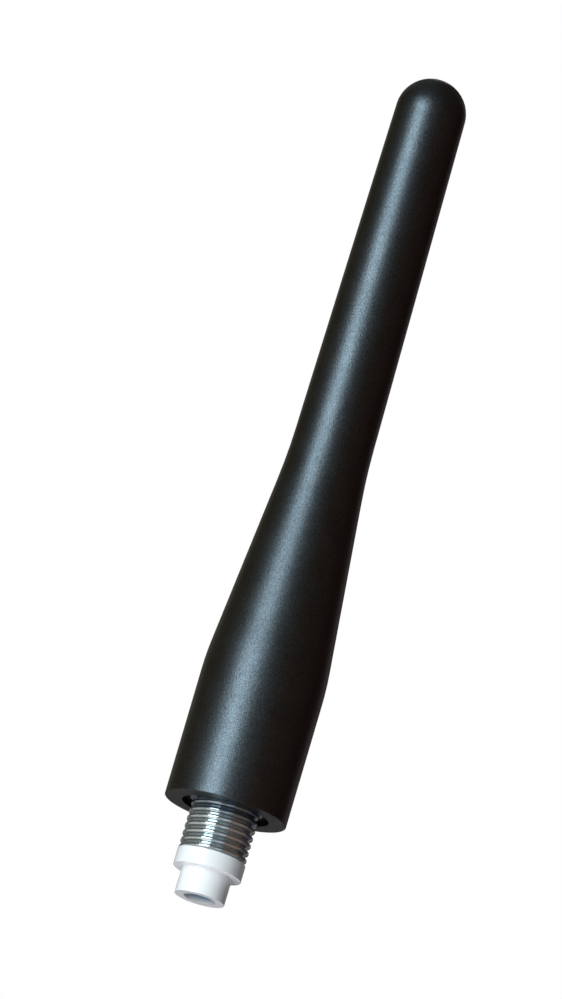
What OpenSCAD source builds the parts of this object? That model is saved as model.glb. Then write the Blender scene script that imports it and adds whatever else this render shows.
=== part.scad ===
/* [Mast jacket] */
// Height of the jacket's tip above its seat
jacket_h = 106.2; // [104:0.1:120]
// Diameter of the cylinder at the jacket's foot
base_d = 17.2; // [16:0.1:20]
// Height at which the foot's side would meet the flare, without the blend
flare_start_h = 20.2; // [19:0.1:24]
// Height at which the flare would meet the upper taper, without the blend
flare_end_h = 50.3; // [46:0.1:60]
// Diameter of the waist where the flare would meet the upper taper
waist_d = 11.2; // [11:0.1:12]
// Diameter of the dome on the tip
tip_d = 9.7; // [9.6:0.05:10.4]
// Radius of the blend from the foot into the flare
foot_blend_r = 46; // [10:1:60]
// Radius of the blend from the flare into the upper taper
waist_blend_r = 90; // [20:1:120]
// Chamfer on the foot's lower edge
foot_chamfer = 0.1; // [0.05:0.01:0.3]
// Diameter of the recess in the foot, round the stud
recess_d = 12.3; // [11.6:0.1:13.5]
// Depth of that recess
recess_depth = 0.7; // [0.4:0.05:1.2]

/* [Threaded stud] */
// Major diameter of the mounting thread
thread_d = 9.525; // [9.3:0.005:9.7]
// Pitch of the mounting thread
thread_pitch = 1.058; // [1:0.001:1.25]
// Angle from +X at which the middle of the crest meets the stud's lower end
thread_start = 117.4; // [0:0.1:360]
// Length of stud below the jacket's seat
thread_reach = 6.75; // [5:0.05:9]
// Diameter of the flange that carries the jacket
flange_d = 10.3; // [10:0.1:11.4]
// Thickness of the flange
flange_t = 2; // [1.2:0.1:3]
// How far the flange stands out of the recess floor
flange_proud = 0.12; // [0.05:0.01:0.3]
// Diameter of the barrel inside the jacket
barrel_d = 9; // [8.8:0.1:9.6]
// Length of the barrel above the flange
barrel_len = 11; // [10:0.1:14]
// Distance across the barrel's two flats, which stop the jacket turning
barrel_flats = 8.2; // [8:0.1:8.6]
// Number of grooves round the barrel that hold the jacket
barrel_grooves = 3; // [1:1:3]
// Width of each groove
groove_w = 1.2; // [0.8:0.1:1.4]
// Depth of each groove
groove_depth = 0.5; // [0.2:0.05:0.6]

/* [Insulator] */
// Diameter of the insulator's collar
collar_d = 9.6; // [9:0.1:10.5]
// Height of the collar
collar_h = 2.3; // [1.5:0.1:3.5]
// Diameter of the spigot below the collar
spigot_d = 7.06; // [6.8:0.02:8]
// Height of the spigot
spigot_h = 3.75; // [2.5:0.05:5]
// Diameter of the shank that fills the stud's bore
shank_d = 6.4; // [6.3:0.05:6.6]
// How far the shank stands out above the stud's barrel
shank_proud = 0.5; // [0.3:0.1:1]

/* [Centre contact] */
// Outer diameter of the contact's tube, and of the insulator's bore
contact_d = 4.5; // [4.4:0.05:4.8]
// Diameter of the hole that takes the base's pin
socket_d = 3.2; // [2.8:0.05:3.4]
// Depth of that hole
socket_depth = 9; // [7:0.1:11]
// How far the contact lies behind the spigot's end
contact_inset = 1.2; // [0.6:0.1:1.6]
// Number of slots that make the contact's mouth springy
contact_slots = 4; // [2:1:4]
// Width of each slot
slot_w = 0.4; // [0.3:0.05:0.5]
// Length of each slot
slot_len = 6.5; // [4:0.1:6.8]
// Diameter of the shoulder that stops the contact in the insulator
shoulder_d = 5.5; // [5.4:0.02:5.6]
// Height of the shoulder
shoulder_h = 1.5; // [1:0.1:2]
// Length of insulator above the seat of that shoulder
shoulder_sink = 5.5; // [4:0.1:6.5]
// Length of the ferrule above the shoulder
ferrule_len = 11.5; // [10:0.1:14]

/* [Radiator] */
// Diameter of the rod on which the coil is wound
former_d = 5; // [4.8:0.05:5.2]
// Diameter of the rod's spigot in the ferrule
former_spigot_d = 3.4; // [3:0.1:3.8]
// Length of that spigot
former_spigot_len = 5.5; // [3:0.1:6]
// Diameter of the coil's wire
wire_d = 1; // [0.8:0.05:1]
// Number of close turns that are soldered to the ferrule
close_turns = 3; // [2:1:4]
// Number of open turns along the rod
open_turns = 23; // [12:1:26]
// Distance from the lowest turn's centre to the ferrule's end
coil_foot = 4.5; // [3.8:0.1:6]
// Distance from the coil's upper end to the rod's end
coil_stop = 3; // [2:0.1:5]
// Distance from the rod's end to the jacket's tip
former_cover = 6.5; // [5.5:0.1:9]
// Depth of the pocket in the jacket that centres the rod's end
tip_pocket = 1.8; // [1:0.1:2]

/* [Fits] */
// Gap round the stud's flange and barrel, filled by the bond
bond_gap = 0.03; // [0.01:0.01:0.06]
// Gap between the contact and the insulator, and between rod and ferrule
contact_gap = 0.02; // [0.01:0.01:0.05]
// Gap between the coil and what it is wound on or lies in
coil_gap = 0.05; // [0.02:0.01:0.1]

/* [Hidden] */
$fn = 96;
arc_fn = 720;
cut = 0.5;

// heights, all measured from the jacket's seat
stud_end_z = -thread_reach;
spigot_z = stud_end_z - collar_h;
mouth_z = spigot_z - spigot_h;
contact_end_z = mouth_z + contact_inset;
flange_z = recess_depth - flange_proud;
flange_top_z = flange_z + flange_t;
barrel_top_z = flange_top_z + barrel_len;
shank_top_z = barrel_top_z + shank_proud;
shoulder_z = shank_top_z - shoulder_sink;
shoulder_top_z = shoulder_z + shoulder_h;
ferrule_top_z = shoulder_top_z + ferrule_len;
former_top_z = jacket_h - former_cover;
coil_start_z = ferrule_top_z - coil_foot;
coil_end_z = former_top_z - coil_stop;

// the jacket's outline: foot, flare and taper, with the dome's tangent point
base_r = base_d / 2;
waist_r = waist_d / 2;
tip_r = tip_d / 2;
dome_z = jacket_h - tip_r;
foot_corner = [base_r, flare_start_h];
waist_corner = [waist_r, flare_end_h];
dome_centre = [0, dome_z];
to_dome = dome_centre - waist_corner;
dome_dist = norm(to_dome);
dome_turn = atan2(to_dome[1], to_dome[0]) - asin(tip_r / dome_dist);
dome_reach = sqrt(dome_dist * dome_dist - tip_r * tip_r);
dome_touch = waist_corner + dome_reach * [cos(dome_turn), sin(dome_turn)];

// the thread's section: a 60 degree ridge, an eighth of the pitch wide at its crest
crest_w = thread_pitch / 8;
thread_depth = 0.6134 * thread_pitch;
ridge_h = crest_w + 2 * thread_depth * tan(30);
thread_r = thread_d / 2;
core_r = thread_r - thread_depth;
thread_segments = 48;

// the winding: close turns at the foot, then open turns at an even pitch
coil_r = former_d / 2 + coil_gap + wire_d / 2;
close_pitch = wire_d + coil_gap;
open_pitch = (coil_end_z - coil_start_z - close_turns * close_pitch) / open_turns;
coil_segments = 16;
wire_sides = 6;
coil_bore_r = coil_r + wire_d / 2 + coil_gap;

function unit(v) = v / norm(v);
function quarter_turn(v) = [-v[1], v[0]];
function turn_angle(a, b) = acos(unit(a) * unit(b));
function blend_reach(r, a, b) = r * tan(turn_angle(a, b) / 2);

// the centre of a round that runs from direction a into direction b at a corner
function blend_centre(p, a, b, r, side) =
    p - unit(a) * blend_reach(r, a, b) + side * r * quarter_turn(unit(a));

function coil_rise(t) =
    t < close_turns ? t * close_pitch : close_turns * close_pitch + (t - close_turns) * open_pitch;

// what a round takes off the corner that its circle sits in
module corner_waste(p, a, b, r) {
    reach = blend_reach(r, a, b);
    difference() {
        polygon([p - unit(a) * reach, p + [cut, 0], p + unit(b) * reach]);
        translate(blend_centre(p, a, b, r, 1)) circle(r = r, $fn = arc_fn);
    }
}

module jacket_outline() {
    up = [0, 1];
    flare = waist_corner - foot_corner;
    taper = dome_touch - waist_corner;
    waist_reach = blend_reach(waist_blend_r, flare, taper);
    difference() {
        union() {
            polygon([
                [0, 0], [base_r - foot_chamfer, 0], [base_r, foot_chamfer], foot_corner,
                waist_corner - unit(flare) * waist_reach, waist_corner + unit(taper) * waist_reach,
                dome_touch, [0, dome_touch[1]]
            ]);
            intersection() {
                translate(dome_centre) circle(r = tip_r, $fn = 192);
                translate([0, dome_touch[1] - cut]) square([base_r, tip_d]);
            }
        }
        translate(blend_centre(waist_corner, flare, taper, waist_blend_r, -1))
            circle(r = waist_blend_r, $fn = arc_fn);
        corner_waste(foot_corner, up, flare, foot_blend_r);
    }
}

module stud_barrel(gap) {
    intersection() {
        difference() {
            translate([0, 0, flange_top_z - cut])
                cylinder(d = barrel_d + 2 * gap, h = barrel_len + cut);
            for (i = [1 : barrel_grooves])
                translate([0, 0, flange_top_z + i * barrel_len / (barrel_grooves + 1) - groove_w / 2 + gap])
                    difference() {
                        cylinder(d = barrel_d + 4 * cut, h = groove_w - 2 * gap);
                        translate([0, 0, -cut])
                            cylinder(d = barrel_d - 2 * groove_depth + 2 * gap, h = groove_w + 2 * cut);
                    }
        }
        translate([-base_r, -barrel_flats / 2 - gap, 0])
            cube([base_d, barrel_flats + 2 * gap, barrel_top_z + 2 * cut]);
    }
}

module mast_jacket() {
    color([0.06, 0.06, 0.065])
    difference() {
        rotate_extrude() jacket_outline();
        translate([0, 0, -cut]) cylinder(d = recess_d, h = recess_depth + cut);
        cylinder(d = flange_d + 2 * bond_gap, h = flange_top_z);
        stud_barrel(bond_gap);
        translate([0, 0, barrel_top_z - cut])
            cylinder(r = coil_bore_r, h = former_top_z - tip_pocket - barrel_top_z + cut);
        translate([0, 0, former_top_z - tip_pocket - cut])
            cylinder(d = former_d + 2 * coil_gap, h = tip_pocket + coil_gap + cut);
    }
}

// the point of the thread's section that belongs to step i round the helix
function thread_point(i, p) =
    let (a = thread_start + 360 * i / thread_segments)
    [p[0] * cos(a), p[0] * sin(a), stud_end_z + thread_pitch * (i / thread_segments - 1) + p[1]];

// a screw: a helical strip of root, flank, crest and flank that closes on its next turn
module thread_screw(top_z) {
    n = thread_segments;
    steps = ceil((top_z + ridge_h / 2 - stud_end_z) / thread_pitch + 1) * n;
    section = [
        [core_r, -ridge_h / 2], [thread_r, -crest_w / 2], [thread_r, crest_w / 2], [core_r, ridge_h / 2]
    ];
    rows = len(section);
    function index(i, k) = k < rows ? rows * i + k : rows * (i + n);
    points = concat(
        [for (i = [0 : steps + n], p = section) thread_point(i, p)],
        [[0, 0, stud_end_z - 2 * thread_pitch], [0, 0, top_z + 2 * thread_pitch]]
    );
    foot = len(points) - 2;
    head = len(points) - 1;
    strip = [
        for (i = [0 : steps - 1], k = [0 : rows - 1], half = [0, 1])
            let (a = index(i, k), b = index(i + 1, k), c = index(i + 1, k + 1), d = index(i, k + 1))
            half == 0 ? [a, c, b] : [a, d, c]
    ];
    under = [for (i = [0 : n - 1]) [foot, index(i, 0), index(i + 1, 0)]];
    over = [for (i = [0 : n - 1]) [head, index(steps + i + 1, 0), index(steps + i, 0)]];
    under_step = [for (k = [0 : rows - 1]) [foot, index(0, k + 1), index(0, k)]];
    over_step = [for (k = [0 : rows - 1]) [head, index(steps, k), index(steps, k + 1)]];
    intersection() {
        polyhedron(points = points, faces = concat(strip, under, over, under_step, over_step));
        translate([0, 0, stud_end_z]) cylinder(d = flange_d, h = top_z - stud_end_z);
    }
}

module threaded_stud() {
    color([0.72, 0.74, 0.76])
    difference() {
        union() {
            thread_screw(flange_z + cut);
            translate([0, 0, flange_z]) cylinder(d = flange_d, h = flange_t);
            stud_barrel(0);
        }
        translate([0, 0, stud_end_z - cut])
            cylinder(d = shank_d, h = barrel_top_z - stud_end_z + 2 * cut);
    }
}

module insulator() {
    color([0.95, 0.95, 0.95])
    difference() {
        union() {
            translate([0, 0, mouth_z]) cylinder(d = spigot_d, h = spigot_h + cut);
            translate([0, 0, spigot_z]) cylinder(d = collar_d, h = collar_h);
            translate([0, 0, stud_end_z - cut]) cylinder(d = shank_d, h = shank_top_z - stud_end_z + cut);
        }
        translate([0, 0, mouth_z - cut]) cylinder(d = contact_d, h = shank_top_z - mouth_z + 2 * cut);
        translate([0, 0, shoulder_z]) cylinder(d = shoulder_d, h = shoulder_sink + cut);
    }
}

module centre_contact() {
    color([0.8, 0.65, 0.35])
    difference() {
        union() {
            translate([0, 0, contact_end_z])
                cylinder(d = contact_d - 2 * contact_gap, h = shoulder_z - contact_end_z + cut);
            translate([0, 0, shoulder_z]) cylinder(d = shoulder_d - 2 * contact_gap, h = shoulder_h);
            translate([0, 0, shoulder_top_z - cut]) cylinder(d = former_d, h = ferrule_len + cut);
        }
        translate([0, 0, contact_end_z - cut]) cylinder(d = socket_d, h = socket_depth + cut);
        for (i = [0 : contact_slots - 1])
            rotate(45 + i * 360 / contact_slots)
                translate([0, -slot_w / 2, contact_end_z - cut])
                    cube([contact_d, slot_w, slot_len + cut]);
        translate([0, 0, ferrule_top_z - former_spigot_len])
            cylinder(d = former_spigot_d + 2 * contact_gap, h = former_spigot_len + cut);
    }
}

module coil_former() {
    color([0.88, 0.86, 0.78])
    union() {
        translate([0, 0, ferrule_top_z]) cylinder(d = former_d, h = former_top_z - ferrule_top_z);
        translate([0, 0, ferrule_top_z - former_spigot_len])
            cylinder(d = former_spigot_d, h = former_spigot_len + cut);
    }
}

// the wire's rings follow the winding, each square to the wire's own direction
module radiator_coil() {
    steps = (close_turns + open_turns) * coil_segments;
    function centre(t) = [coil_r * cos(360 * t), coil_r * sin(360 * t), coil_start_z + coil_rise(t)];
    points = [
        for (i = [0 : steps], k = [0 : wire_sides - 1])
            let (
                t = i / coil_segments,
                c = centre(t),
                along = unit(centre(t + 0.01) - centre(t - 0.01)),
                out = [cos(360 * t), sin(360 * t), 0],
                side = cross(along, out),
                a = 360 * k / wire_sides
            )
            c + wire_d / 2 * (cos(a) * out + sin(a) * side)
    ];
    sides = [
        for (i = [0 : steps - 1], k = [0 : wire_sides - 1], half = [0, 1])
            let (p = wire_sides * i + k, q = wire_sides * i + (k + 1) % wire_sides)
            half == 0 ? [p, q + wire_sides, q] : [p, p + wire_sides, q + wire_sides]
    ];
    first = [for (k = [0 : wire_sides - 1]) k];
    last = [for (k = [wire_sides - 1 : -1 : 0]) steps * wire_sides + k];
    color([0.75, 0.45, 0.25])
    polyhedron(points = points, faces = concat([first, last], sides));
}

mast_jacket();
threaded_stud();
insulator();
centre_contact();
coil_former();
radiator_coil();
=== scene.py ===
"""The looks of a short whip antenna: a satin black jacket, a plated stud and a white plug."""

import math

import bmesh
import bpy
from mathutils import Matrix, Vector


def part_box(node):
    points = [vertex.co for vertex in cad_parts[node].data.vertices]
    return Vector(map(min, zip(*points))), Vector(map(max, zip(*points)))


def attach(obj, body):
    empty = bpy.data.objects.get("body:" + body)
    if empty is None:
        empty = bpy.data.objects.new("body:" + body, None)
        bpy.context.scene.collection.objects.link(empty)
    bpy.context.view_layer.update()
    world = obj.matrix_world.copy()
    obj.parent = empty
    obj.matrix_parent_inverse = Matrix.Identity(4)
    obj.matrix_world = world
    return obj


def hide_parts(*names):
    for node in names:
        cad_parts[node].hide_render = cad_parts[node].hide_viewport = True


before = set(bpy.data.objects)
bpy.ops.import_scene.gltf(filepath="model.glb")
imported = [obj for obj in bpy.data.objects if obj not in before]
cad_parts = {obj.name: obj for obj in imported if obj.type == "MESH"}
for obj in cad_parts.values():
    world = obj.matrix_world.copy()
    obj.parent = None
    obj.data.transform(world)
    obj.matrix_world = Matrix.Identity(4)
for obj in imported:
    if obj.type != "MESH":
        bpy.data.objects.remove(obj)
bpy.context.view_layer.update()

MM = 0.001

# The photograph's size, where the middle of the jacket's foot shows in it, and how it was taken
IMAGE_W, IMAGE_H = 562, 999
PIXELS_PER_M = 7338.0
SEAT_X, SEAT_Y = 225.2, 811.05
MAST_LEAN = math.radians(16.414)
LOOK_UP = math.radians(12.3)
CAMERA_DISTANCE = 0.6

# The stud's sizes, as the CAD model has them, with a rounded crest and root
THREAD_PITCH = 1.058 * MM
THREAD_START = math.radians(117.4)
THREAD_R = 4.7625 * MM
HALF_ANGLE = math.radians(30)
CREST_ROUND = 0.36 * THREAD_PITCH
ROOT_ROUND = 0.06 * THREAD_PITCH
STUD_BORE_R = 3.2 * MM
STUD_END_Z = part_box("threaded_stud")[0].z
FLANGE_R = 5.15 * MM
FLANGE_Z = 0.58 * MM
FLANGE_T = 2.0 * MM
BARREL_R = 4.5 * MM
BARREL_LEN = 11.0 * MM
BARREL_HALF_FLAT = 4.1 * MM
GROOVES = 3
GROOVE_W = 1.2 * MM
GROOVE_DEPTH = 0.5 * MM
EDGE_BREAK = 0.06 * MM

# How finely the stud is drawn: columns round it, then points on the crest, the flank and the root
STUD_COLUMNS = 192
CREST_ANGLES = (0, 12, 24, 36, 48, 60)
FLANK_SHARES = (0.33, 0.67)
ROOT_ANGLES = (60, 30, 0)

# Turns that the rows of the thread's mesh have to spare at either end, where they are cut flat
SPARE_TURNS = 2

# Points nearer than this are welded, and edges that turn by more than this angle look sharp
WELD = 0.002 * MM
SHARP_ANGLE = math.radians(38)

# Keeps a division from meeting nought
TINY = 1e-6

# The middle part of a noise's values, where most of them lie
NOISE_LOW, NOISE_HIGH = 0.3, 0.7

# The jacket's grain, and the turning marks, which are long round the axis and fine along it
GRAIN_SCALE = 5200
GRAIN_DEPTH = 0.018 * MM
TURNING_SCALE = 900
TURNING_STRETCH = (0.35, 0.35, 12)

# The plate goes over into this painted shade from the lower height to the upper one, below the foot
SHADE_LOW = -1.6 * MM
SHADE_HIGH = -0.9 * MM
SHADE_COLOUR = (0.26, 0.32, 0.38)

# The recess round the stud, how much of the jacket's shine is left in it as painted shade,
# and the heights over which the shine comes back
RECESS_R = 6.15 * MM
RECESS_EDGE = 0.02 * MM
RECESS_SHINE = 0.05
CLEAR_LOW = 2 * MM
CLEAR_HIGH = 3 * MM

# The hole in the plug; its painted shade starts this far below the mouth and is full at a depth
# above it
PLUG_BORE_R = 2.25 * MM
PLUG_BORE_EDGE = 0.01 * MM
PLUG_END_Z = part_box("insulator")[0].z
BORE_SHADE_START = 0.25 * MM
BORE_SHADE_DEPTH = 1.1 * MM
BORE_SHADE_COLOUR = (0.06, 0.14, 0.23)

# The floor lies below the part, which something else holds
FLOOR_Z = -0.35
FLOOR_SIZE = 8.0
FLOOR_COLOUR = (0.82, 0.82, 0.82)
FLOOR_ROUGHNESS = 0.9

# What the lamps and the cards face, how far from it they stand, and the cards' steps in degrees
STUDIO_CENTRE = Vector((0, 0, 0.03))
LAMP_DISTANCE = 1.0
CARD_DISTANCE = 2.0
CARD_STEP = 6

# How bright the world's fill is for diffuse light
FILL_LEVEL = 0.06

# The light from above that falls on the floor, and its width in degrees
SKY_LEVEL = 0.72
SKY_WIDTH = 14

# Lamps: azimuth, elevation, width and height in degrees, radiance, colour
LAMPS = {
    "key_window": (-36, 13, 30, 30, 9.5, (0.86, 1.0, 1.0)),
    "back_right": (150, 12, 12, 50, 0.27, (1.0, 0.84, 0.88)),
    "back_left": (-154, 12, 12, 50, 0.27, (1.0, 1.0, 0.92)),
}

# Lamps that mirrors don't see, in the same terms; the last value is a distance in metres
SOFT_LAMPS = {
    "under_fill": (-24, -50, 50, 40, 4.9, (0.95, 0.955, 0.985), 0.3),
    "back_fill": (168, 5, 60, 60, 2.6, (1.0, 0.98, 0.97), 1.0),
}

# Cards that only reflections see: azimuths, elevations, colour
CARDS = {
    "left_wall": ((-174, -20), (-4, 40), (0.0765, 0.0558, 0.0288)),
    "front_wall": ((-20, 18), (-4, 40), (0.131, 0.115, 0.0855)),
    "right_wall": ((18, 95), (-4, 40), (0.0855, 0.0432, 0.0252)),
    "dark_wall": ((95, 174), (-4, 40), (0.036, 0.0198, 0.0162)),
    "left_ceiling": ((-174, 25), (40, 90), (0.108, 0.122, 0.126)),
    "right_ceiling": ((25, 186), (40, 90), (0.054, 0.0405, 0.036)),
    "left_ground": ((-130, -66), (-80, -4), (0.558, 0.54, 0.486)),
    "window_ground": ((-66, -20), (-80, -4), (1.12, 1.08, 0.945)),
    "gap_ground": ((-20, 5), (-80, -4), (0.378, 0.387, 0.396)),
    "blue_ground": ((5, 30), (-80, -4), (0.522, 0.594, 0.648)),
    "brown_ground": ((30, 100), (-80, -4), (0.225, 0.131, 0.0855)),
    "dark_ground": ((100, 150), (-80, -4), (0.054, 0.045, 0.0585)),
    "back_ground": ((150, 230), (-80, -4), (0.135, 0.131, 0.127)),
}


def direction(azimuth, elevation):
    """A unit vector; azimuth 0 points at the camera's side, positive to its right, in degrees."""
    a, e = math.radians(azimuth), math.radians(elevation)
    return Vector((math.sin(a) * math.cos(e), -math.cos(a) * math.cos(e), math.sin(e)))


def add_object(name, data):
    """A new object in the scene."""
    thing = bpy.data.objects.new(name, data)
    bpy.context.scene.collection.objects.link(thing)
    return thing


def add_camera():
    """An orthographic camera below the mast, rolled so that the mast leans as in the photograph."""
    look = Vector((0, math.cos(LOOK_UP), math.sin(LOOK_UP)))
    level_right = Vector((1, 0, 0))
    level_up = Vector((0, -math.sin(LOOK_UP), math.cos(LOOK_UP)))
    right = math.cos(MAST_LEAN) * level_right + math.sin(MAST_LEAN) * level_up
    up = math.cos(MAST_LEAN) * level_up - math.sin(MAST_LEAN) * level_right
    seat_right = (SEAT_X - IMAGE_W / 2) / PIXELS_PER_M
    seat_up = (IMAGE_H / 2 - SEAT_Y) / PIXELS_PER_M
    centre = -(seat_right * right + seat_up * up)
    data = bpy.data.cameras.new("camera")
    data.type = "ORTHO"
    data.ortho_scale = IMAGE_H / PIXELS_PER_M
    data.dof.use_dof = False
    camera = add_object("camera", data)
    turn = Matrix((right, up, -look)).transposed().to_4x4()
    camera.matrix_world = Matrix.Translation(centre - look * CAMERA_DISTANCE) @ turn
    bpy.context.scene.camera = camera


def new_material(name):
    """A node material with its shader; returns the material, its node tree and the shader."""
    material = bpy.data.materials.new(name)
    material.use_nodes = True
    tree = material.node_tree
    return material, tree, tree.nodes["Principled BSDF"]


def add_noise(tree, scale, detail=3.0, stretch=(1, 1, 1)):
    """Noise in the part's own metres; scale is in features a metre."""
    place = tree.nodes.new("ShaderNodeTexCoord")
    mapping = tree.nodes.new("ShaderNodeMapping")
    noise = tree.nodes.new("ShaderNodeTexNoise")
    mapping.inputs["Scale"].default_value = stretch
    noise.inputs["Scale"].default_value = scale
    noise.inputs["Detail"].default_value = detail
    tree.links.new(place.outputs["Object"], mapping.inputs["Vector"])
    tree.links.new(mapping.outputs["Vector"], noise.inputs["Vector"])
    return noise.outputs["Fac"]


def ramp(tree, value, start, end, low=0.0, high=1.0, curve="SMOOTHSTEP"):
    """Runs from low to high while a value goes from start to end."""
    node = tree.nodes.new("ShaderNodeMapRange")
    node.interpolation_type = curve
    node.inputs["From Min"].default_value = start
    node.inputs["From Max"].default_value = end
    node.inputs["To Min"].default_value = low
    node.inputs["To Max"].default_value = high
    tree.links.new(value, node.inputs["Value"])
    return node.outputs["Result"]


def spread(tree, noise, low, high):
    """Maps the middle part of a noise's values onto low to high."""
    return ramp(tree, noise, NOISE_LOW, NOISE_HIGH, low, high, curve="LINEAR")


def combine(tree, operation, first, second):
    """The product, or the larger, of two values."""
    node = tree.nodes.new("ShaderNodeMath")
    node.operation = operation
    tree.links.new(first, node.inputs[0])
    tree.links.new(second, node.inputs[1])
    return node.outputs[0]


def mottle(tree, noise, first, second):
    """A colour that runs from first to second with a noise."""
    node = tree.nodes.new("ShaderNodeMix")
    node.data_type = "RGBA"
    node.inputs["A"].default_value = (*first, 1)
    node.inputs["B"].default_value = (*second, 1)
    tree.links.new(spread(tree, noise, 0, 1), node.inputs["Factor"])
    return node.outputs["Result"]


def shade_colour(tree, factor, colour, shade):
    """A colour that goes over into a fixed shade with the factor."""
    node = tree.nodes.new("ShaderNodeMix")
    node.data_type = "RGBA"
    node.inputs["B"].default_value = (*shade, 1)
    tree.links.new(factor, node.inputs["Factor"])
    tree.links.new(colour, node.inputs["A"])
    return node.outputs["Result"]


def up_mast(tree):
    """How far up the mast a point lies."""
    place = tree.nodes.new("ShaderNodeTexCoord")
    split = tree.nodes.new("ShaderNodeSeparateXYZ")
    tree.links.new(place.outputs["Object"], split.inputs["Vector"])
    return split.outputs["Z"]


def off_axis(tree):
    """How far from the mast's axis a point lies."""
    place = tree.nodes.new("ShaderNodeTexCoord")
    flat = tree.nodes.new("ShaderNodeVectorMath")
    flat.operation = "MULTIPLY"
    flat.inputs[1].default_value = (1, 1, 0)
    length = tree.nodes.new("ShaderNodeVectorMath")
    length.operation = "LENGTH"
    tree.links.new(place.outputs["Object"], flat.inputs[0])
    tree.links.new(flat.outputs["Vector"], length.inputs[0])
    return length.outputs["Value"]


def outside_recess(tree):
    """One on the jacket's outside, and near nought in the shaded recess round the stud."""
    wide = ramp(tree, off_axis(tree), RECESS_R - RECESS_EDGE, RECESS_R + RECESS_EDGE, RECESS_SHINE)
    high = ramp(tree, up_mast(tree), CLEAR_LOW, CLEAR_HIGH)
    return combine(tree, "MAXIMUM", wide, high)


def near_seat(tree):
    """Rises to one on the first turns of the thread, which lie in the shade of the jacket's foot."""
    return ramp(tree, up_mast(tree), SHADE_LOW, SHADE_HIGH)


def inside_bore(tree):
    """Rises to one down the wall of the plug's hole, as less light gets in there."""
    wall_r = PLUG_BORE_R + PLUG_BORE_EDGE
    inside = ramp(tree, off_axis(tree), wall_r, wall_r + 2 * PLUG_BORE_EDGE, 1.0, 0.0)
    deep = ramp(tree, up_mast(tree), PLUG_END_Z - BORE_SHADE_START, PLUG_END_Z + BORE_SHADE_DEPTH)
    return combine(tree, "MULTIPLY", inside, deep)


def turning_marks(tree):
    """Fine marks that a lathe leaves round the axis."""
    return add_noise(tree, TURNING_SCALE, stretch=TURNING_STRETCH)


def coat(tree, shader, colour, roughness, metallic=0.0):
    """Gives a shader its colour and roughness, and how metallic it is."""
    tree.links.new(colour, shader.inputs["Base Color"])
    tree.links.new(roughness, shader.inputs["Roughness"])
    shader.inputs["Metallic"].default_value = metallic


def add_bump(tree, shader, relief, depth):
    """A relief in the shader's normal; depth is in metres."""
    bump = tree.nodes.new("ShaderNodeBump")
    bump.inputs["Distance"].default_value = depth
    tree.links.new(relief, bump.inputs["Height"])
    tree.links.new(bump.outputs["Normal"], shader.inputs["Normal"])


def jacket_material():
    """Satin black moulding with a fine grain that breaks up the highlight."""
    material, tree, shader = new_material("jacket_black")
    grain = add_noise(tree, GRAIN_SCALE, detail=1.0)
    cloud = add_noise(tree, 260)
    tint = mottle(tree, cloud, (0.0034, 0.0020, 0.0008), (0.0048, 0.0031, 0.0016))
    coat(tree, shader, tint, spread(tree, cloud, 0.37, 0.41))
    # Painted shade: the grain's shine is cut down to RECESS_SHINE in the recess round the stud
    shine = combine(tree, "MULTIPLY", spread(tree, grain, 0.67, 1.50), outside_recess(tree))
    tree.links.new(shine, shader.inputs["Specular IOR Level"])
    shader.inputs["Specular Tint"].default_value = (0.67, 0.82, 1.0, 1)
    add_bump(tree, shader, grain, GRAIN_DEPTH)
    return material


def metal_material():
    """Bright plate on turned metal, with faint turning marks."""
    material, tree, shader = new_material("plated_metal")
    marks = turning_marks(tree)
    cloud = add_noise(tree, 500)
    tint = mottle(tree, cloud, (0.52, 0.60, 0.65), (0.62, 0.69, 0.73))
    # Painted shade on the plate's first turns and above them, under the jacket's foot
    tint = shade_colour(tree, near_seat(tree), tint, SHADE_COLOUR)
    coat(tree, shader, tint, spread(tree, marks, 0.10, 0.18), metallic=0.93)
    add_bump(tree, shader, marks, 0.0002 * MM)
    return material


def white_material():
    """Glossy white moulded plastic."""
    material, tree, shader = new_material("white_plastic")
    cloud = add_noise(tree, 300)
    fine = add_noise(tree, 2600, detail=2.0)
    tint = mottle(tree, cloud, (0.72, 0.74, 0.765), (0.75, 0.765, 0.785))
    # Painted shade that darkens the wall of the plug's hole with depth
    tint = shade_colour(tree, inside_bore(tree), tint, BORE_SHADE_COLOUR)
    coat(tree, shader, tint, spread(tree, fine, 0.14, 0.20))
    add_bump(tree, shader, fine, 0.0008 * MM)
    return material


def brass_material():
    """Bright turned brass."""
    material, tree, shader = new_material("contact_brass")
    marks = turning_marks(tree)
    tint = mottle(tree, marks, (0.72, 0.53, 0.25), (0.82, 0.64, 0.33))
    coat(tree, shader, tint, spread(tree, marks, 0.16, 0.26), metallic=1.0)
    add_bump(tree, shader, marks, 0.001 * MM)
    return material


def former_material():
    """Natural moulded plastic."""
    material, tree, shader = new_material("former_plastic")
    cloud = add_noise(tree, 500)
    tint = mottle(tree, cloud, (0.80, 0.77, 0.68), (0.87, 0.84, 0.76))
    coat(tree, shader, tint, spread(tree, cloud, 0.45, 0.55))
    return material


def copper_material():
    """Bare drawn copper wire."""
    material, tree, shader = new_material("copper_wire")
    cloud = add_noise(tree, 1200)
    tint = mottle(tree, cloud, (0.72, 0.36, 0.20), (0.84, 0.46, 0.28))
    coat(tree, shader, tint, spread(tree, cloud, 0.20, 0.32), metallic=1.0)
    return material


def dress_node(name, material):
    """Gives a CAD node its procedural material."""
    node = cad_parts[name]
    node.data.materials.clear()
    node.data.materials.append(material)


def finish_piece(name, mesh, material, node):
    """Turns a mesh into a piece that rides on the part and stands for a CAD node."""
    data = bpy.data.meshes.new(name)
    mesh.to_mesh(data)
    mesh.free()
    data.shade_smooth()
    data.set_sharp_from_angle(angle=SHARP_ANGLE)
    data.materials.append(material)
    piece = add_object(name, data)
    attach(piece, "root")
    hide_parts(node)


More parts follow.
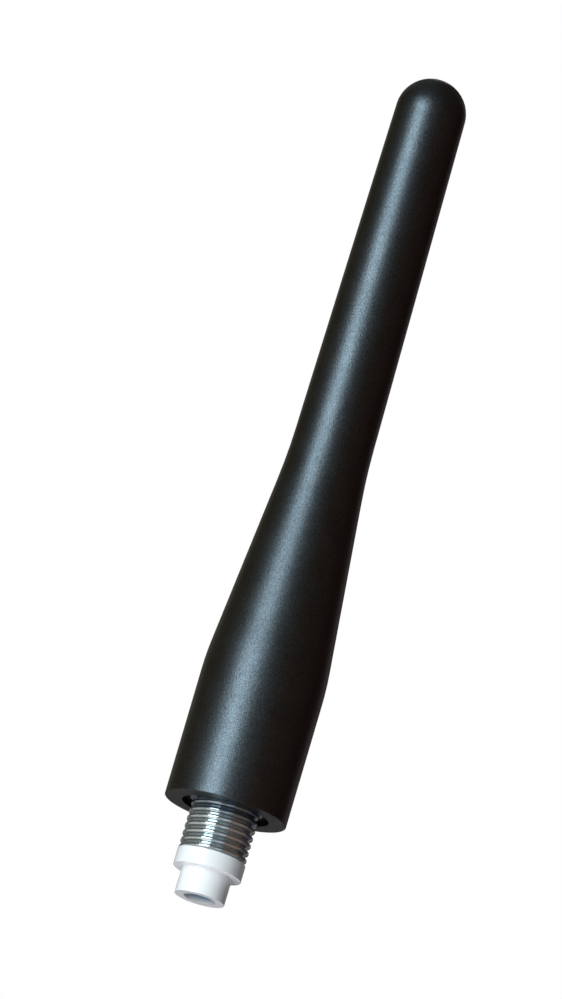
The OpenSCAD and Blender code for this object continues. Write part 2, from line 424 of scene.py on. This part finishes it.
def thread_radius(angle, z):
    """The thread's radius at an angle and a height: straight flanks, round crest and round root."""
    rise = (z - STUD_END_Z) / THREAD_PITCH - (angle - THREAD_START) / math.tau
    from_crest = abs((rise + 0.5) % 1 - 0.5) * THREAD_PITCH
    from_root = THREAD_PITCH / 2 - from_crest
    apex = THREAD_R + CREST_ROUND * (1 / math.sin(HALF_ANGLE) - 1)
    if from_crest < CREST_ROUND * math.cos(HALF_ANGLE):
        return THREAD_R - CREST_ROUND + math.sqrt(CREST_ROUND**2 - from_crest**2)
    if from_root < ROOT_ROUND * math.cos(HALF_ANGLE):
        foot = apex - THREAD_PITCH / 2 / math.tan(HALF_ANGLE)
        return foot + ROOT_ROUND / math.sin(HALF_ANGLE) - math.sqrt(ROOT_ROUND**2 - from_root**2)
    return apex - from_crest / math.tan(HALF_ANGLE)


def thread_steps():
    """Heights over one pitch, from crest to crest, at which the thread's section gets a point."""
    crest = [CREST_ROUND * math.sin(math.radians(a)) for a in CREST_ANGLES]
    root = [THREAD_PITCH / 2 - ROOT_ROUND * math.sin(math.radians(a)) for a in ROOT_ANGLES]
    flank = [crest[-1] + (root[0] - crest[-1]) * share for share in FLANK_SHARES]
    half = crest + flank + root
    return half + [THREAD_PITCH - step for step in reversed(half[1:-1])]


def barrel_outline(half_width):
    """Radius and height of the barrel's points, where its flats let it reach this far at most."""
    foot_z = FLANGE_Z + FLANGE_T
    wide = min(BARREL_R, half_width)
    narrow = min(BARREL_R - GROOVE_DEPTH, half_width)
    outline = [(wide, foot_z)]
    for i in range(1, GROOVES + 1):
        middle = foot_z + i * BARREL_LEN / (GROOVES + 1)
        low, high = middle - GROOVE_W / 2, middle + GROOVE_W / 2
        outline += [(wide, low), (narrow, low), (narrow, high), (wide, high)]
    top_z = foot_z + BARREL_LEN
    return outline + [(wide, top_z), (STUD_BORE_R, top_z)]


def stud_outline(angle):
    """Radius and height of the stud's points, from the thread's top by the barrel to its foot."""
    flange_top = FLANGE_Z + FLANGE_T
    half_width = BARREL_HALF_FLAT / max(abs(math.sin(angle)), TINY)
    return [
        (thread_radius(angle, FLANGE_Z), FLANGE_Z),
        (FLANGE_R - EDGE_BREAK, FLANGE_Z),
        (FLANGE_R, FLANGE_Z + EDGE_BREAK),
        (FLANGE_R, flange_top - EDGE_BREAK),
        (FLANGE_R - EDGE_BREAK, flange_top),
        *barrel_outline(half_width),
        (STUD_BORE_R, STUD_END_Z),
        (thread_radius(angle, STUD_END_Z), STUD_END_Z),
    ]


def thread_outline(angle, steps, turns):
    """Radius and height of the thread's points, whose rows rise with the helix."""
    start = STUD_END_Z + THREAD_PITCH * ((angle - THREAD_START) / math.tau - SPARE_TURNS)
    rows = range(turns * len(steps) + 1)
    heights = [start + THREAD_PITCH * (row // len(steps)) + steps[row % len(steps)] for row in rows]
    heights = [min(max(z, STUD_END_Z), FLANGE_Z) for z in heights]
    return [(thread_radius(angle, z), z) for z in heights]


def add_column(mesh, angle, outline):
    """The points of an outline at an angle round the axis."""
    out = Vector((math.cos(angle), math.sin(angle), 0))
    return [mesh.verts.new(out * radius + Vector((0, 0, z))) for radius, z in outline]


def join_columns(mesh, here, there, shift=0):
    """Faces between two columns of points; row 0 of the first meets row shift of the second."""
    last = len(here) - 1
    for row in range(last):
        low = there[min(row + shift, last)]
        high = there[min(row + 1 + shift, last)]
        corners = [here[row], low, high, here[row + 1]]
        if len(set(corners)) == 4:
            mesh.faces.new(corners)


def build_stud():
    """The stud with its helical thread as one closed mesh, whose rows follow the helix."""
    steps = thread_steps()
    turns = math.ceil((FLANGE_Z - STUD_END_Z) / THREAD_PITCH) + 2 * SPARE_TURNS
    mesh = bmesh.new()
    thread, rings = [], []
    for column in range(STUD_COLUMNS):
        angle = math.tau * column / STUD_COLUMNS
        thread.append(add_column(mesh, angle, thread_outline(angle, steps, turns)))
        rings.append(add_column(mesh, angle, stud_outline(angle)))
    for column in range(STUD_COLUMNS):
        after = (column + 1) % STUD_COLUMNS
        one_turn = len(steps) if after == 0 else 0
        join_columns(mesh, thread[column], thread[after], one_turn)
        join_columns(mesh, rings[column], rings[after])
    bmesh.ops.remove_doubles(mesh, verts=mesh.verts, dist=WELD)
    bmesh.ops.recalc_face_normals(mesh, faces=mesh.faces)
    finish_piece("stud_detail", mesh, metal_material(), "threaded_stud")


def add_floor():
    """A plain pale floor, well below the part."""
    bpy.ops.mesh.primitive_plane_add(size=FLOOR_SIZE, location=(0, 0, FLOOR_Z))
    floor = bpy.context.object
    floor.name = "floor"
    material, _, shader = new_material("pale_floor")
    shader.inputs["Base Color"].default_value = (*FLOOR_COLOUR, 1)
    shader.inputs["Roughness"].default_value = FLOOR_ROUGHNESS
    floor.data.materials.append(material)
    floor.visible_glossy = False
    floor.visible_diffuse = False


def background(tree, strength):
    """White light of one strength from all round."""
    node = tree.nodes.new("ShaderNodeBackground")
    node.inputs["Color"].default_value = (1, 1, 1, 1)
    node.inputs["Strength"].default_value = strength
    return node.outputs[0]


def add_world():
    """White where camera, mirror or glass rays see it, and a soft grey fill for everything else."""
    world = bpy.data.worlds.new("studio_world")
    bpy.context.scene.world = world
    world.use_nodes = True
    tree = world.node_tree
    tree.nodes.clear()
    rays = tree.nodes.new("ShaderNodeLightPath").outputs
    seen = combine(tree, "MAXIMUM", rays["Is Camera Ray"], rays["Is Glossy Ray"])
    seen = combine(tree, "MAXIMUM", seen, rays["Is Transmission Ray"])
    mix = tree.nodes.new("ShaderNodeMixShader")
    output = tree.nodes.new("ShaderNodeOutputWorld")
    tree.links.new(seen, mix.inputs["Fac"])
    tree.links.new(background(tree, FILL_LEVEL), mix.inputs[1])
    tree.links.new(background(tree, 1.0), mix.inputs[2])
    tree.links.new(mix.outputs[0], output.inputs["Surface"])


def add_softbox(name, azimuth, elevation, width, height, radiance, colour, distance=LAMP_DISTANCE):
    """A rectangular lamp that faces the part; the camera doesn't see it."""
    data = bpy.data.lights.new(name, "AREA")
    data.shape = "RECTANGLE"
    data.size = 2 * distance * math.tan(math.radians(width / 2))
    data.size_y = 2 * distance * math.tan(math.radians(height / 2))
    data.energy = radiance * math.pi * data.size * data.size_y
    data.color = colour
    lamp = add_object(name, data)
    away = direction(azimuth, elevation)
    lamp.location = STUDIO_CENTRE + away * distance
    lamp.rotation_mode = "QUATERNION"
    lamp.rotation_quaternion = away.to_track_quat("Z", "Y")
    lamp.visible_camera = False
    return lamp


def add_skylight():
    """Soft light from above, which mirrors don't see; it lights the floor and casts the shadow."""
    data = bpy.data.lights.new("skylight", "SUN")
    data.angle = math.radians(SKY_WIDTH)
    data.energy = SKY_LEVEL * math.pi
    lamp = add_object("skylight", data)
    lamp.visible_camera = False
    lamp.visible_glossy = False


def even_angles(ends):
    """Angles from one end to the other, in even steps of CARD_STEP degrees at most."""
    count = max(2, math.ceil((ends[1] - ends[0]) / CARD_STEP))
    return [ends[0] + (ends[1] - ends[0]) * i / count for i in range(count + 1)]


def shell_mesh(name, azimuths, elevations):
    """A piece of a wide shell round the part."""
    mesh = bmesh.new()
    grid = []
    for azimuth in even_angles(azimuths):
        places = [direction(azimuth, elevation) for elevation in even_angles(elevations)]
        grid.append([mesh.verts.new(STUDIO_CENTRE + place * CARD_DISTANCE) for place in places])
    for here, there in zip(grid, grid[1:]):
        join_columns(mesh, here, there)
    data = bpy.data.meshes.new(name)
    mesh.to_mesh(data)
    mesh.free()
    return data


def glow_material(name, colour):
    """A material that only glows."""
    material = bpy.data.materials.new(name)
    material.use_nodes = True
    tree = material.node_tree
    tree.nodes.clear()
    glow = tree.nodes.new("ShaderNodeEmission")
    glow.inputs["Color"].default_value = (*colour, 1)
    output = tree.nodes.new("ShaderNodeOutputMaterial")
    tree.links.new(glow.outputs[0], output.inputs["Surface"])
    return material


def add_card(name, azimuths, elevations, colour):
    """A glowing card on a wide shell round the part, which only reflections see."""
    data = shell_mesh(name, azimuths, elevations)
    data.materials.append(glow_material(name, colour))
    card = add_object(name, data)
    card.visible_camera = False
    card.visible_diffuse = False
    card.visible_transmission = False
    card.visible_volume_scatter = False
    card.visible_shadow = False


add_camera()

dress_node("mast_jacket", jacket_material())
dress_node("insulator", white_material())
dress_node("centre_contact", brass_material())
dress_node("coil_former", former_material())
dress_node("radiator_coil", copper_material())
build_stud()

add_floor()
add_world()
for lamp_name, values in LAMPS.items():
    add_softbox(lamp_name, *values)
for lamp_name, values in SOFT_LAMPS.items():
    add_softbox(lamp_name, *values).visible_glossy = False
add_skylight()
for card_name, values in CARDS.items():
    add_card(card_name, *values)

bpy.context.scene.view_settings.view_transform = "Standard"
